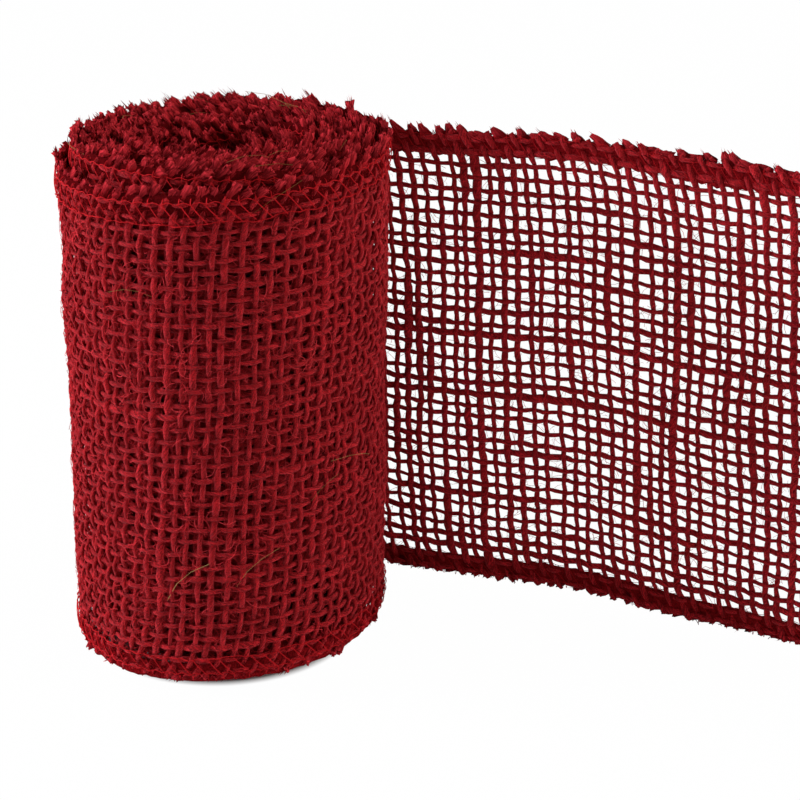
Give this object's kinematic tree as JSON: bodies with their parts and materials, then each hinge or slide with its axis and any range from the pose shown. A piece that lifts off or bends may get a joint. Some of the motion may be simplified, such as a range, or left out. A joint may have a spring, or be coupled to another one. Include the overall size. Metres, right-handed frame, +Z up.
{
  "type": "ribbon roll",
  "caption": "Roll of open plain-weave jute ribbon with overlocked edges on a plain paper core, standing on end with its free tail drawn out to one side.",
  "frame": {"origin": "on the core's axis, in the plane of the base that the roll stands on", "axes": "+Z up along the core's axis, +X towards the side where the tail leaves, +Y away from the viewer of the picture"},
  "size_m": [0.1537, 0.0638, 0.1025],
  "materials": {
    "cloth": "dyed jute, open plain weave",
    "overlock": "overlocked jute edge",
    "thread": "spun polyester thread",
    "kraft_core": "spiral-wound kraft paper",
    "tape": "double-sided tissue tape"
  },
  "bodies": {
    "roll": {"core_tube": "kraft_core", "start_tape": "tape", "wound_cloth": "cloth", "wound_top_overlock": "overlock", "wound_bottom_overlock": "overlock"},
    "outer_turn": {"outer_cloth": "cloth", "outer_top_overlock": "overlock", "outer_bottom_overlock": "overlock", "outer_top_needle_thread": "thread", "outer_bottom_needle_thread": "thread", "tail_cloth_1": "cloth", "tail_top_overlock_1": "overlock", "tail_bottom_overlock_1": "overlock", "tail_top_needle_thread_1": "thread", "tail_bottom_needle_thread_1": "thread"},
    "tail_2": {"tail_cloth_2": "cloth", "tail_top_overlock_2": "overlock", "tail_bottom_overlock_2": "overlock", "tail_top_needle_thread_2": "thread", "tail_bottom_needle_thread_2": "thread"},
    "tail_3": {"tail_cloth_3": "cloth", "tail_top_overlock_3": "overlock", "tail_bottom_overlock_3": "overlock", "tail_top_needle_thread_3": "thread", "tail_bottom_needle_thread_3": "thread"},
    "tail_4": {"tail_cloth_4": "cloth", "tail_top_overlock_4": "overlock", "tail_bottom_overlock_4": "overlock", "tail_top_needle_thread_4": "thread", "tail_bottom_needle_thread_4": "thread"}
  },
  "joints": [
    {"name": "unwind", "type": "hinge", "parent": "roll", "child": "outer_turn", "pos_m": [0, 0, 0], "axis": [0, 0, 1], "continuous": true},
    {"name": "tail_bend_1", "type": "hinge", "parent": "outer_turn", "child": "tail_2", "pos_m": [0.03348, 0.01801, 0], "axis": [0, 0, 1], "range_deg": [-45, 45]},
    {"name": "tail_bend_2", "type": "hinge", "parent": "tail_2", "child": "tail_3", "pos_m": [0.06235, 0.00421, 0], "axis": [0, 0, 1], "range_deg": [-45, 45]},
    {"name": "tail_bend_3", "type": "hinge", "parent": "tail_3", "child": "tail_4", "pos_m": [0.09071, -0.01057, 0], "axis": [0, 0, 1], "range_deg": [-45, 45]}
  ]
}
